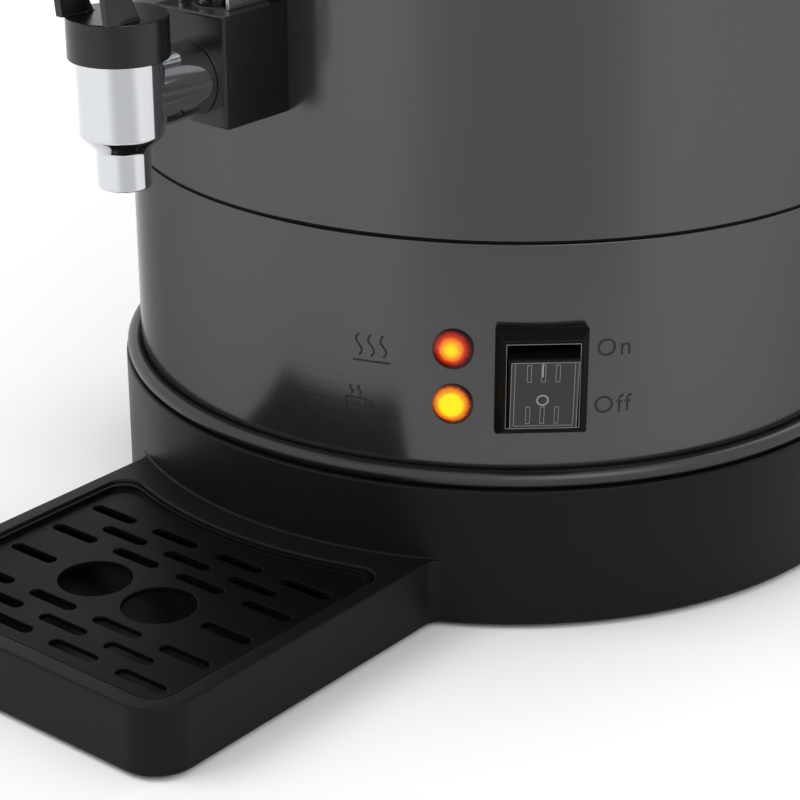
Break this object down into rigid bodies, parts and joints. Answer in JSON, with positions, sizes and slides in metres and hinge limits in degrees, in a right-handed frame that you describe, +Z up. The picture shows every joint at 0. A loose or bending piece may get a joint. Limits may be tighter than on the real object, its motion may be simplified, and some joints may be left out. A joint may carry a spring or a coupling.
{
  "type": "coffee urn",
  "caption": "Percolator coffee urn with a press-down tap, water gauge, drip tray with lift-out grid, rocker switch and indicator lamps.",
  "frame": {"origin": "on the urn's axis, at the surface that it stands on", "axes": "+Z up, the tap and the drip shelf face -Y, the power inlet faces +Y"},
  "size_m": [0.3116, 0.34, 0.4515],
  "materials": {
    "base_plastic": "moulded, fine satin texture",
    "tinted_steel": "polished, dark tinted",
    "black_plastic": "moulded, half gloss",
    "switch_plastic": "gloss",
    "rocker_plastic": "gloss",
    "red_lens": "translucent",
    "amber_lens": "translucent",
    "lamp_white": "moulded",
    "stainless": "deep drawn",
    "zinc": "zinc plated",
    "chrome_plate": "polished",
    "clear_tube": "clear",
    "black_rubber": "matte",
    "red_silicone": "matte",
    "cast_aluminium": "cast",
    "brass_contact": "stamped",
    "ceramic_white": "matte",
    "wire_insulation": "satin"
  },
  "bodies": {
    "root": {"base_housing": "base_plastic", "bottom_cover": "base_plastic", "cover_screws": "zinc", "foot_ring": "black_rubber", "shelf_feet": "black_rubber", "trim_ring": "tinted_steel", "control_panel": "tinted_steel", "seam_ring": "black_plastic", "outer_jacket": "tinted_steel", "inner_tank": "stainless", "top_ring": "black_plastic", "handle_left": "black_plastic", "handle_right": "black_plastic", "handle_screws": "zinc", "switch_housing": "switch_plastic", "switch_terminals": "brass_contact", "heating_lamp_lens": "red_lens", "keep_warm_lamp_lens": "amber_lens", "lamp_holders": "lamp_white", "gauge_block": "black_plastic", "gauge_tube": "clear_tube", "gauge_seals": "black_rubber", "gauge_guard": "stainless", "gauge_cap": "black_plastic", "gauge_screw": "zinc", "tap_shank": "chrome_plate", "tap_nut": "chrome_plate", "tank_seal": "red_silicone", "shank_spacer": "zinc", "tap_body": "chrome_plate", "tap_bonnet": "black_plastic", "valve_spring": "zinc", "lever_pin": "zinc", "brew_heater": "cast_aluminium", "warm_heater": "cast_aluminium", "thermostats": "ceramic_white", "tie_rods": "zinc", "rod_nuts": "zinc", "clamp_plate": "zinc", "power_inlet": "black_plastic", "inlet_pins": "brass_contact", "terminal_block": "ceramic_white", "wiring": "wire_insulation"},
    "rocker": {"switch_rocker": "rocker_plastic"},
    "lever": {"tap_lever": "black_plastic"},
    "stem": {"valve_stem": "zinc", "valve_plug": "red_silicone"},
    "pan": {"drip_pan": "base_plastic"},
    "grid": {"drip_grid": "base_plastic"},
    "pump": {"pump_tube": "stainless", "pump_valve": "stainless"},
    "basket": {"coffee_basket": "stainless"},
    "spreader": {"basket_spreader": "stainless"},
    "lid": {"lid": "tinted_steel", "lid_gasket": "red_silicone", "lid_knob": "black_plastic", "knob_screw": "zinc"}
  },
  "joints": [
    {"name": "rocker_tilt", "type": "hinge", "parent": "root", "child": "rocker", "pos_m": [0.07632, -0.08536, 0.0757], "axis": [-0.7455, -0.6665, 0], "range_deg": [0, 16]},
    {"name": "lever_press", "type": "hinge", "parent": "root", "child": "lever", "pos_m": [0, -0.175, 0.191], "axis": [1, 0, 0], "range_deg": [0, 25], "stiffness_Nm_per_rad": 0.15, "springref_deg": -17.19},
    {"name": "stem_lift", "type": "slide", "parent": "root", "child": "stem", "axis": [0, 0, 1], "range_m": [0, 0.0045], "deforming": ["valve_spring"]},
    {"name": "pan_lift", "type": "slide", "parent": "root", "child": "pan", "axis": [0, 0, 1], "range_m": [0, 0.03]},
    {"name": "grid_lift", "type": "slide", "parent": "pan", "child": "grid", "axis": [0, 0, 1], "range_m": [0, 0.03]},
    {"name": "lid_lift", "type": "slide", "parent": "root", "child": "lid", "axis": [0, 0, 1], "range_m": [0, 0.38]},
    {"name": "pump_lift", "type": "slide", "parent": "root", "child": "pump", "axis": [0, 0, 1], "range_m": [0, 0.29]},
    {"name": "basket_lift", "type": "slide", "parent": "pump", "child": "basket", "axis": [0, 0, 1], "range_m": [0, 0.04]},
    {"name": "spreader_lift", "type": "slide", "parent": "basket", "child": "spreader", "axis": [0, 0, 1], "range_m": [0, 0.04]}
  ],
  "couplings": [
    {"joint": "stem_lift", "follows": "lever_press", "m_per_rad": 0.01},
    {"joint": "pump_lift", "follows": "lid_lift", "ratio": 0.76},
    {"joint": "basket_lift", "follows": "lid_lift", "ratio": 0.1},
    {"joint": "spreader_lift", "follows": "lid_lift", "ratio": 0.1}
  ]
}
